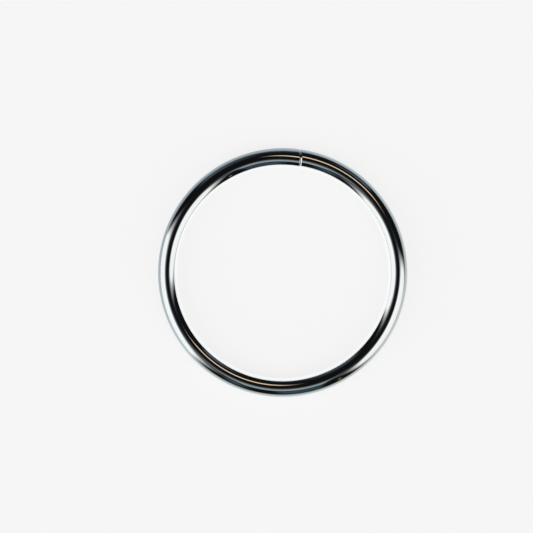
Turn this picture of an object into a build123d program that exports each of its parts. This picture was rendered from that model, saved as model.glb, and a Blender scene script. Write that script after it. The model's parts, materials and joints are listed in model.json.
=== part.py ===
from build123d import *
import os

# A round-wire ring: a length of steel wire bent to a full circle, its two cut ends butted together.
# Millimetres. The ring lies flat on z = 0 with its axis on +Z, and the seam is on the +Y side.

# The bent ring
INSIDE_DIAMETER = 50.8
WIRE_DIAMETER = 4.5

# The seam, where the two sheared ends meet
SEAM_GAP = 0.06
CUT_LEAN = 9.0
CUT_SKEW = 5.0
CUT_OVERRUN = 2.0

# The edges of the ends: the shear rolled the first end over more than the second, and tumbling rounded both
FIRST_BEVEL_LENGTH = 0.4
FIRST_BEVEL_DEPTH = 0.24
SECOND_BEVEL_LENGTH = 0.08
SECOND_BEVEL_DEPTH = 0.05
SHOULDER_ROUNDING = 0.2

wire_radius = WIRE_DIAMETER / 2
bend_radius = INSIDE_DIAMETER / 2 + wire_radius


def bent_wire():
    """The wire's round section turned once about the ring's axis."""
    section = Plane.YZ * Pos(-bend_radius, wire_radius) * Circle(wire_radius)
    return revolve(section, Axis.Z)


def seam_cut():
    """The thin slab between the two ends. It leans along the ring and is skewed across the wire."""
    side = WIRE_DIAMETER + 2 * CUT_OVERRUN
    slab = Box(SEAM_GAP, side, side)
    return Pos(0, bend_radius, wire_radius) * Rot(0, CUT_LEAN, CUT_SKEW) * slab


def roll_over(ring, end, length, depth):
    """The edge of one end bevelled all round the wire, with a rounded shoulder. End -1 is on +X, end 0 on -X."""
    end_face = ring.faces().filter_by(GeomType.PLANE).sort_by(Axis.X)[end]
    bevelled = chamfer(end_face.edges(), depth, length, reference=end_face)
    bevel = bevelled.faces().filter_by(GeomType.BSPLINE).sort_by(Axis.X)[end]
    shoulder = bevel.edges().sort_by(SortBy.LENGTH)[-1]
    return fillet(shoulder, SHOULDER_ROUNDING)


wire_ring = bent_wire() - seam_cut()
wire_ring = roll_over(wire_ring, -1, FIRST_BEVEL_LENGTH, FIRST_BEVEL_DEPTH)
wire_ring = roll_over(wire_ring, 0, SECOND_BEVEL_LENGTH, SECOND_BEVEL_DEPTH)
wire_ring.label = "wire_ring"

os.makedirs("parts", exist_ok=True)
export_step(wire_ring, "parts/wire_ring.step")
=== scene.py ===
import json
from math import atan2, cos, pi, radians, sin, tan

import bpy
from mathutils import Matrix, Quaternion, Vector


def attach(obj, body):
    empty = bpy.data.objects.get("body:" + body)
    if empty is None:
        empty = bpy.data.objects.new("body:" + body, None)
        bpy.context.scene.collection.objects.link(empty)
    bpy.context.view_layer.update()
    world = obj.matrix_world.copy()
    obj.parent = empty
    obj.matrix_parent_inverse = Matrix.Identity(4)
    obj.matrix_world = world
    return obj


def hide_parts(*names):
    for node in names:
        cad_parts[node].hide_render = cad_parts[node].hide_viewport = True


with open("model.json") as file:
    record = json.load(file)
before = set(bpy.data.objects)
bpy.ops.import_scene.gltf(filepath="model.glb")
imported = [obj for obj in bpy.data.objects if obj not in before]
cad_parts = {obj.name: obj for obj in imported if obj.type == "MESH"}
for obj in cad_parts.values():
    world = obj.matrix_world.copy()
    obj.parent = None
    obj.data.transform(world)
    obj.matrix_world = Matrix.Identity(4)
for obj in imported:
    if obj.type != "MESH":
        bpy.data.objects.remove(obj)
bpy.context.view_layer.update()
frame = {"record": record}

# The wire ring.
# One length of drawn steel wire, bent to a full circle until its two sheared ends meet.
# It was tumbled and bright plated after bending, so the plate runs over the rounded ends into the seam.
MM = 0.001
mounts = {mount["name"]: mount["dims"] for mount in frame["record"]["mounts"]}
wire_radius = mounts["wire"]["r_mm"] * MM
bend_radius = mounts["eye"]["r_mm"] * MM + wire_radius
SEAM_GAP = 0.06 * MM
FIRST_BEVEL = 0.4 * MM, 0.24 * MM
SECOND_BEVEL = 0.08 * MM, 0.05 * MM
SHOULDER_ROUNDING = 0.2 * MM
CUT_LEAN = radians(9.0)
CUT_SKEW = radians(5.0)
SQUASH = 0.055
SQUASH_LENGTH = 11.0 * MM
SIDES = 96
STEPS = 600
SHOULDER_STEPS = 6
END_LOOP = 0.1
wire_length = 2 * pi * bend_radius - SEAM_GAP


def squash(along):
    """How far the section is pressed oval: the jaws that closed the ring marked the wire's second end."""
    near = max(0.0, 1.0 - (wire_length - along) / SQUASH_LENGTH)
    return SQUASH * near * near * (3 - 2 * near)


def skin_point(along, around, inset):
    """A point of the wire's skin: along the bend from the first end, and around from its outer side."""
    radius = (wire_radius - inset) * (1 - squash(along) * cos(2 * around - pi / 2))
    out = radius * cos(around)
    up = radius * sin(around)
    slant = up * tan(CUT_LEAN) - out * tan(CUT_SKEW) / cos(CUT_LEAN)
    reach = bend_radius + out
    turn = (SEAM_GAP / 2 + along) / bend_radius + slant / reach
    return reach * sin(turn), reach * cos(turn), wire_radius + up


def end_rows(length, depth):
    """The rows of one end: how far each lies along the wire, and how far it is set in by the bevel."""
    slope = atan2(depth, length)
    shoulder = length + SHOULDER_ROUNDING * tan(slope / 2)
    bends = [slope * (1 - step / SHOULDER_STEPS) for step in range(SHOULDER_STEPS + 1)]
    bevel = [(0.0, depth), (END_LOOP * length, (1 - END_LOOP) * depth)]
    rounding = [(shoulder - SHOULDER_ROUNDING * sin(bend), SHOULDER_ROUNDING * (1 - cos(bend)))
                for bend in bends]
    return bevel + rounding + [((1 + END_LOOP) * shoulder, 0.0)]


def skin_rows():
    """All the rows of the mesh, from the first end to the second."""
    first, second = end_rows(*FIRST_BEVEL), end_rows(*SECOND_BEVEL)
    start, stop = first[-1][0], wire_length - second[-1][0]
    middle = [(start + (stop - start) * step / STEPS, 0.0) for step in range(1, STEPS)]
    return first + middle + [(wire_length - along, inset) for along, inset in reversed(second)]


def wire_mesh(name):
    """The skin as a closed mesh with a flat face at each end, and a map of it unrolled, in metres."""
    rows = skin_rows()
    turns = [2 * pi * side / SIDES for side in range(SIDES)]
    points = [skin_point(along, around, inset) for along, inset in rows for around in turns]
    faces = [list(range(SIDES))]
    for row in range(len(rows) - 1):
        for side in range(SIDES):
            near, far = row * SIDES, (row + 1) * SIDES
            beside = (side + 1) % SIDES
            faces.append([near + side, far + side, far + beside, near + beside])
    faces.append([(len(rows) - 1) * SIDES + side for side in reversed(range(SIDES))])
    mesh = bpy.data.meshes.new(name)
    mesh.from_pydata(points, [], faces)
    mesh.polygons.foreach_set("use_smooth", [True] * len(faces))
    unrolled = mesh.uv_layers.new(name="unrolled").data
    for face in mesh.polygons:
        last = max(mesh.loops[i].vertex_index % SIDES for i in face.loop_indices) == SIDES - 1
        for i in face.loop_indices:
            row, side = divmod(mesh.loops[i].vertex_index, SIDES)
            lap = SIDES if last and side == 0 and len(face.vertices) == 4 else 0
            unrolled[i].uv = rows[row][0], (side + lap) / SIDES * 2 * pi * wire_radius
    mesh.update()
    return mesh


def linear(colour):
    """An sRGB hex colour as linear red, green, blue and alpha."""
    parts = [int(colour[i:i + 2], 16) / 255 for i in (1, 3, 5)]
    return (*(c / 12.92 if c <= 0.04045 else ((c + 0.055) / 1.055) ** 2.4 for c in parts), 1.0)


def add_node(tree, kind, inputs, **settings):
    """Adds a node with its settings. An input is a value, or the output of another node to link."""
    made = tree.nodes.new(kind)
    for name, value in settings.items():
        setattr(made, name, value)
    for socket, value in inputs.items():
        if isinstance(value, bpy.types.NodeSocket):
            tree.links.new(value, made.inputs[socket])
        else:
            made.inputs[socket].default_value = value
    return made


# Chromium plate over polished steel: a clear mirror, a little cool, with no colour of its own but its tint.
# The lines of the wire drawing run along it, bending and tumbling left it slightly uneven and finely pitted,
# and the sheared end faces took a thinner and duller coat.
LINE_LENGTH = 14.0 * MM
LINE_WIDTH = 0.12 * MM
LINE_DEPTH = 0.0005 * MM
UNEVEN_LENGTH = 9.0 * MM
UNEVEN_DEPTH = 0.05 * MM
CLOUD_SIZE = 1.6 * MM
CLOUD_RANGE = 0.3, 0.7
PIT_SPACING = 1.7 * MM
PIT_RADIUS = 0.06 * MM
PIT_DEPTH = 0.01 * MM
PLATE_TINT = "#EFF1F2"
PLATE_ROUGHNESS = 0.025, 0.05
END_TINT = "#B2B4B5"
END_ROUGHNESS = 0.28
plate = bpy.data.materials.new("bright_chromium_plate")
plate.use_nodes = True
tree = plate.node_tree
tree.nodes.clear()
unrolled = add_node(tree, "ShaderNodeUVMap", {}, uv_map="unrolled")
run = add_node(tree, "ShaderNodeSeparateXYZ", {"Vector": unrolled.outputs["UV"]})
around = add_node(tree, "ShaderNodeMath", {0: run.outputs["Y"], 1: wire_radius}, operation="DIVIDE")
outward = add_node(tree, "ShaderNodeMath", {0: around.outputs["Value"]}, operation="COSINE")
upward = add_node(tree, "ShaderNodeMath", {0: around.outputs["Value"]}, operation="SINE")
skin = add_node(tree, "ShaderNodeCombineXYZ", {
    "X": run.outputs["X"], "Y": outward.outputs["Value"], "Z": upward.outputs["Value"]})
drawn = add_node(tree, "ShaderNodeVectorMath", {
    0: skin.outputs["Vector"], 1: (1 / LINE_LENGTH, wire_radius / LINE_WIDTH, wire_radius / LINE_WIDTH)},
    operation="MULTIPLY")
lines = add_node(tree, "ShaderNodeTexNoise", {
    "Vector": drawn.outputs["Vector"], "Scale": 1.0, "Detail": 2.0})
place = add_node(tree, "ShaderNodeTexCoord", {})
waves = add_node(tree, "ShaderNodeTexNoise", {
    "Vector": place.outputs["Object"], "Scale": 1 / UNEVEN_LENGTH, "Detail": 1.0})
cloud = add_node(tree, "ShaderNodeTexNoise", {
    "Vector": place.outputs["Object"], "Scale": 1 / CLOUD_SIZE, "Detail": 4.0})
pits = add_node(tree, "ShaderNodeTexVoronoi", {
    "Vector": place.outputs["Object"], "Scale": 1 / PIT_SPACING})
pit = add_node(tree, "ShaderNodeMapRange", {
    "Value": pits.outputs["Distance"], "From Min": 0.0, "From Max": PIT_RADIUS / PIT_SPACING,
    "To Min": 0.0, "To Max": 1.0}, interpolation_type="SMOOTHSTEP")
uneven = add_node(tree, "ShaderNodeBump", {"Height": waves.outputs["Fac"], "Distance": UNEVEN_DEPTH})
lined = add_node(tree, "ShaderNodeBump", {
    "Height": lines.outputs["Fac"], "Distance": LINE_DEPTH, "Normal": uneven.outputs["Normal"]})
pitted = add_node(tree, "ShaderNodeBump", {
    "Height": pit.outputs["Result"], "Distance": PIT_DEPTH, "Normal": lined.outputs["Normal"]})
to_end = add_node(tree, "ShaderNodeMath", {0: run.outputs["X"], 1: wire_length / 2}, operation="SUBTRACT")
from_middle = add_node(tree, "ShaderNodeMath", {0: to_end.outputs["Value"]}, operation="ABSOLUTE")
cut = add_node(tree, "ShaderNodeMapRange", {
    "Value": from_middle.outputs["Value"], "From Min": wire_length / 2 - END_LOOP * SECOND_BEVEL[0],
    "From Max": wire_length / 2}, interpolation_type="SMOOTHSTEP")
clear = add_node(tree, "ShaderNodeMapRange", {
    "Value": cloud.outputs["Fac"], "From Min": CLOUD_RANGE[0], "From Max": CLOUD_RANGE[1],
    "To Min": PLATE_ROUGHNESS[0], "To Max": PLATE_ROUGHNESS[1]})
rough = add_node(tree, "ShaderNodeMix", {
    "Factor": cut.outputs["Result"], "A": clear.outputs["Result"], "B": END_ROUGHNESS}, data_type="FLOAT")
tint = add_node(tree, "ShaderNodeMix", {
    0: cut.outputs["Result"], 6: linear(PLATE_TINT), 7: linear(END_TINT)}, data_type="RGBA")
shader = add_node(tree, "ShaderNodeBsdfPrincipled", {
    "Base Color": tint.outputs[2], "Metallic": 1.0, "Roughness": rough.outputs["Result"],
    "Normal": pitted.outputs["Normal"]})
add_node(tree, "ShaderNodeOutputMaterial", {"Surface": shader.outputs["BSDF"]})

ring = bpy.data.objects.new("bright_wire_ring", wire_mesh("bright_wire_ring"))
bpy.context.scene.collection.objects.link(ring)
ring.data.materials.append(plate)
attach(ring, "root")
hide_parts("wire_ring")

# The table.
# A plain sheet of pale paper. It is seen at its own even tone, and the share of its light that comes from
# the lamps keeps the ring's shadow. In the ring's reflection alone it shows painted light: a painted pool of
# light that mirrors white within the ring, and outside it dimmer for a way around, a painted falloff.
SEAM_CLOCK = radians(7.75)
TABLE_RADIUS = 1.5
TABLE_SIDES = 128
PAPER = "#F6F6F6"
SEEN_TONE = 0.829
SHADOW_TONE = 0.3
SHEEN_IOR = 1.08
# A painted pool of light: the paper within the ring is mirrored white, brighter than it is seen.
PAINTED_POOL_TONE = 1.0
# A painted falloff of light: outside the ring the mirrored paper dims with distance, by these stops.
OUTER_TONE = 0.845
OUTER_START = 30 * MM
OUTER_END = 100 * MM
OUTER_ENDS = 0.74, 1.0
PAINTED_FALLOFF = (0.03, 0.65), (0.07, 0.57), (0.23, 0.46), (0.46, 0.29)
# A painted shadow, seen only in the ring's reflection: outside the ring the mirrored paper is lighter on one
# side, and darker and bluer towards the shaded side at this clock.
LIT_SIDE_TINT = "#F3FCFA"
LIT_SIDE_SHARE = 1.15
SHADED_SIDE_TINT = "#DFF3FF"
SHADED_SIDE_SHARE = 0.15
SHADED_CLOCK = radians(-35)
shaded_way = sin(SHADED_CLOCK), cos(SHADED_CLOCK), 0.0
turns = [2 * pi * side / TABLE_SIDES for side in range(TABLE_SIDES)]
rim = [(TABLE_RADIUS * sin(turn), TABLE_RADIUS * cos(turn), 0.0) for turn in turns]
sheet = bpy.data.meshes.new("table")
sheet.from_pydata(rim, [], [list(reversed(range(TABLE_SIDES)))])
table = bpy.data.objects.new("table", sheet)
bpy.context.scene.collection.objects.link(table)
table.rotation_euler = (0, 0, SEAM_CLOCK)
paper = bpy.data.materials.new("pale_paper")
paper.use_nodes = True
tree = paper.node_tree
tree.nodes.clear()
rays = add_node(tree, "ShaderNodeLightPath", {})
place = add_node(tree, "ShaderNodeTexCoord", {})
away = add_node(tree, "ShaderNodeVectorMath", {0: place.outputs["Object"]}, operation="LENGTH")
inside = add_node(tree, "ShaderNodeMath", {0: away.outputs["Value"], 1: bend_radius}, operation="LESS_THAN")
spread = add_node(tree, "ShaderNodeMapRange", {
    "Value": away.outputs["Value"], "From Min": OUTER_START, "From Max": OUTER_END})
outer = add_node(tree, "ShaderNodeValToRGB", {"Fac": spread.outputs["Result"]})
for mark, tone in zip(outer.color_ramp.elements, OUTER_ENDS):
    mark.color = tone, tone, tone, 1.0
for stop, tone in PAINTED_FALLOFF:
    outer.color_ramp.elements.new(stop).color = tone, tone, tone, 1.0
# Painted shadow: the mirrored tone outside the ring falls from the lit side to the shaded side.
along = add_node(tree, "ShaderNodeVectorMath", {
    0: place.outputs["Object"], 1: shaded_way}, operation="DOT_PRODUCT")
nearer = add_node(tree, "ShaderNodeMapRange", {
    "Value": along.outputs["Value"], "From Min": 0.0, "From Max": OUTER_END,
    "To Min": LIT_SIDE_SHARE * OUTER_TONE, "To Max": SHADED_SIDE_SHARE * OUTER_TONE})
outside = add_node(tree, "ShaderNodeMath", {
    0: outer.outputs["Color"], 1: nearer.outputs["Result"]}, operation="MULTIPLY")
# The paper's painted reflection tone: the painted pool within the ring, the painted falloff outside.
mirrored = add_node(tree, "ShaderNodeMix", {
    "Factor": inside.outputs["Value"], "A": outside.outputs["Value"], "B": PAINTED_POOL_TONE}, data_type="FLOAT")
seen = add_node(tree, "ShaderNodeMath", {
    0: rays.outputs["Is Camera Ray"], 1: SEEN_TONE}, operation="MULTIPLY")
unscattered = add_node(tree, "ShaderNodeMath", {
    0: rays.outputs["Diffuse Depth"], 1: 1.0}, operation="LESS_THAN")
in_plate = add_node(tree, "ShaderNodeMath", {
    0: rays.outputs["Is Glossy Ray"], 1: unscattered.outputs["Value"]}, operation="MULTIPLY")
glow = add_node(tree, "ShaderNodeMath", {
    0: in_plate.outputs["Value"], 1: mirrored.outputs["Result"], 2: seen.outputs["Value"]},
    operation="MULTIPLY_ADD")
plain = add_node(tree, "ShaderNodeMath", {
    0: inside.outputs["Value"], 1: rays.outputs["Is Camera Ray"]}, operation="MAXIMUM")
# Painted shadow colour: the mirrored paper outside the ring turns bluer towards the shaded side.
side = add_node(tree, "ShaderNodeMapRange", {
    "Value": along.outputs["Value"], "From Min": -bend_radius, "From Max": bend_radius})
shade = add_node(tree, "ShaderNodeMix", {
    0: side.outputs["Result"], 6: linear(LIT_SIDE_TINT), 7: linear(SHADED_SIDE_TINT)}, data_type="RGBA")
tint = add_node(tree, "ShaderNodeMix", {
    0: plain.outputs["Value"], 6: shade.outputs[2], 7: (1, 1, 1, 1)}, data_type="RGBA")
light = add_node(tree, "ShaderNodeEmission", {
    "Color": tint.outputs[2], "Strength": glow.outputs["Value"]})
matt = add_node(tree, "ShaderNodeBsdfDiffuse", {"Color": (SHADOW_TONE, SHADOW_TONE, SHADOW_TONE, 1)})
both = add_node(tree, "ShaderNodeAddShader", {0: light.outputs["Emission"], 1: matt.outputs["BSDF"]})
sheen = add_node(tree, "ShaderNodeFresnel", {"IOR": SHEEN_IOR})
mirrored_sheen = add_node(tree, "ShaderNodeMath", {
    0: sheen.outputs["Fac"], 1: rays.outputs["Is Glossy Ray"]}, operation="MULTIPLY")
gloss = add_node(tree, "ShaderNodeBsdfGlossy", {"Color": (1, 1, 1, 1), "Roughness": 0.0})
surface = add_node(tree, "ShaderNodeMixShader", {
    "Fac": mirrored_sheen.outputs["Value"], 1: both.outputs["Shader"], 2: gloss.outputs["BSDF"]})
add_node(tree, "ShaderNodeOutputMaterial", {"Surface": surface.outputs["Shader"]})
table.data.materials.append(paper)

# The studio.
# Two softboxes, left and right, a warm strip and a pale board overhead, and dim blue boards round them make
# the bands that the plate mirrors. Each faces the ring from a clock position of the picture and a height.
STUDIO_RADIUS = 3.0
BOARD_CELLS = 12


def towards(clock, elevation):
    """The direction of a clock position of the picture, in degrees, at an elevation above the table."""
    turn = radians(clock) - SEAM_CLOCK
    level = cos(radians(elevation))
    return Vector((level * sin(turn), level * cos(turn), sin(radians(elevation))))


def board(name, clock, elevation, wide, high, colour, strength, soft, roll=0.0, taper=0.0, firm=1.0):
    """A glowing board square to its direction, with half its angles across and up, and its left, right, low
    and high soft edges as shares of its size. The edges of a firm board rise sooner to its even middle."""
    direction = towards(clock, elevation)
    half_x, half_y = (tan(radians(angle)) * STUDIO_RADIUS for angle in (wide, high))
    shares = [cell / BOARD_CELLS for cell in range(BOARD_CELLS + 1)]
    points = [(half_x * (2 * u - 1) * (1 + taper * (2 * v - 1)), half_y * (2 * v - 1), 0)
              for v in shares for u in shares]
    row = BOARD_CELLS + 1
    corners = [x + row * y for y in range(BOARD_CELLS) for x in range(BOARD_CELLS)]
    mesh = bpy.data.meshes.new(name)
    mesh.from_pydata(points, [], [(c, c + 1, c + row + 1, c + row) for c in corners])
    spread = mesh.uv_layers.new(name="spread").data
    for loop in mesh.loops:
        v, u = divmod(loop.vertex_index, row)
        spread[loop.index].uv = shares[u], shares[v]
    made = bpy.data.objects.new(name, mesh)
    bpy.context.scene.collection.objects.link(made)
    made.location = direction * STUDIO_RADIUS
    made.rotation_mode = "QUATERNION"
    facing = (-direction).to_track_quat("Z", "Y")
    made.rotation_quaternion = facing @ Quaternion((0, 0, 1), radians(roll))
    glowing = bpy.data.materials.new(name)
    glowing.use_nodes = True
    tree = glowing.node_tree
    tree.nodes.clear()
    across = add_node(tree, "ShaderNodeUVMap", {}, uv_map="spread")
    split = add_node(tree, "ShaderNodeSeparateXYZ", {"Vector": across.outputs["UV"]})
    left, right, low, top = soft
    level = firm
    for axis, start, end in (("X", 0, left), ("X", 1, 1 - right), ("Y", 0, low), ("Y", 1, 1 - top)):
        edge = add_node(tree, "ShaderNodeMapRange", {
            "Value": split.outputs[axis], "From Min": start, "From Max": end},
            interpolation_type="SMOOTHSTEP")
        level = add_node(tree, "ShaderNodeMath", {
            0: edge.outputs["Result"], 1: level}, operation="MULTIPLY").outputs["Value"]
    even = add_node(tree, "ShaderNodeMath", {0: level, 1: 1.0}, operation="MINIMUM")
    glow = add_node(tree, "ShaderNodeMath", {0: even.outputs["Value"], 1: strength}, operation="MULTIPLY")
    light = add_node(tree, "ShaderNodeEmission", {
        "Color": linear(colour), "Strength": glow.outputs["Value"]})
    clear = add_node(tree, "ShaderNodeBsdfTransparent", {})
    both = add_node(tree, "ShaderNodeAddShader", {0: light.outputs["Emission"], 1: clear.outputs["BSDF"]})
    add_node(tree, "ShaderNodeOutputMaterial", {"Surface": both.outputs["Shader"]})
    made.data.materials.append(glowing)
    made.visible_camera = False
    made.visible_shadow = False


board("left_softbox", -107, 29.5, 37.5, 40, "#FEFFFB", 1.03, (0.4, 0.35, 0.1, 1.0),
      roll=4, taper=-0.1, firm=5.0)
board("left_glow", -108, 54, 32, 27, "#C5D3FF", 0.16, (0.4, 0.7, 0.4, 0.5))
board("right_softbox", 116, 34, 28, 41, "#FEFFFB", 1.0, (0.45, 0.4, 0.75, 0.75),
      roll=-3, taper=-0.35, firm=6.0)
board("right_glow", 108, 56, 23, 27, "#ABD8FF", 0.14, (0.6, 0.4, 0.5, 0.8))
board("warm_strip", 25, 61, 18.5, 7, "#FFE2BD", 0.98, (0.25, 0.05, 0.3, 0.45), roll=14, taper=0.2)
board("overhead_board", -176, 67, 11.5, 18, "#E4FAFF", 0.55, (0.05, 0.05, 0.3, 1.0), roll=-15)
board("navy_board_right", 171, 15, 11, 48, "#B6E1FF", 0.1, (0.15, 0.3, 0.95, 0.4))
board("navy_board_left", -160, 22, 8, 25, "#B6E1FF", 0.1, (0.6, 0.5, 0.8, 0.1))
board("far_board_left", -27, 22, 20, 24, "#CFE8FF", 0.12, (0.25, 0.85, 0.2, 0.7))
board("far_board_middle", -5, 4, 22, 22, "#A9CCFF", 0.08, (0.3, 0.3, 0.1, 0.9))
board("far_board_right", 37, 18, 14, 19, "#C8E0FF", 0.18, (0.95, 0.2, 0.8, 0.3))
board("small_lamp", 152.6, 24, 0.9, 9, "#FFB159", 0.32, (0.3, 0.3, 0.3, 0.3))

# The room.
# It is dark to the plate, so that the bands stand apart, and as pale as the paper to the eye.
ROOM_TONE = 0.0059
room = bpy.data.worlds.new("room")
bpy.context.scene.world = room
room.use_nodes = True
tree = room.node_tree
tree.nodes.clear()
rays = add_node(tree, "ShaderNodeLightPath", {})
tone = add_node(tree, "ShaderNodeMix", {
    "Factor": rays.outputs["Is Camera Ray"], "A": ROOM_TONE, "B": linear(PAPER)[0]}, data_type="FLOAT")
air = add_node(tree, "ShaderNodeBackground", {"Color": (1, 1, 1, 1), "Strength": tone.outputs["Result"]})
add_node(tree, "ShaderNodeOutputWorld", {"Surface": air.outputs["Background"]})

# The camera.
# It looks almost straight down on the ring through a long lens, and leans a little.
# The ring is a few pixels to the right of the picture's middle and below it.
PICTURE_SIDE = 533
RING_RIGHT = 16.27
RING_DOWN = 6.3
PIXEL = 0.2398 * MM
CAMERA_DISTANCE = 1.0
LEAN_RIGHT = -0.019
LEAN_UP = 0.0628
SIGHT = 10.0
lens = bpy.data.cameras.new("camera")
camera = bpy.data.objects.new("camera", lens)
bpy.context.scene.collection.objects.link(camera)
bpy.context.scene.camera = camera
across = Vector((cos(SEAM_CLOCK), sin(SEAM_CLOCK), 0))
upward = Vector((-sin(SEAM_CLOCK), cos(SEAM_CLOCK), 0))
back = (LEAN_RIGHT * across + LEAN_UP * upward + Vector((0, 0, 1))).normalized()
picture_right = (across - back * across.dot(back)).normalized()
picture_up = back.cross(picture_right)
facing = Matrix((picture_right, picture_up, back)).transposed()
camera.rotation_euler = facing.to_euler()
camera.location = Vector((0, 0, wire_radius)) + back * CAMERA_DISTANCE
camera.location += (RING_DOWN * picture_up - RING_RIGHT * picture_right) * PIXEL
lens.lens = lens.sensor_width * CAMERA_DISTANCE / (PICTURE_SIDE * PIXEL)
lens.clip_end = SIGHT
bpy.context.scene.view_settings.view_transform = "Standard"
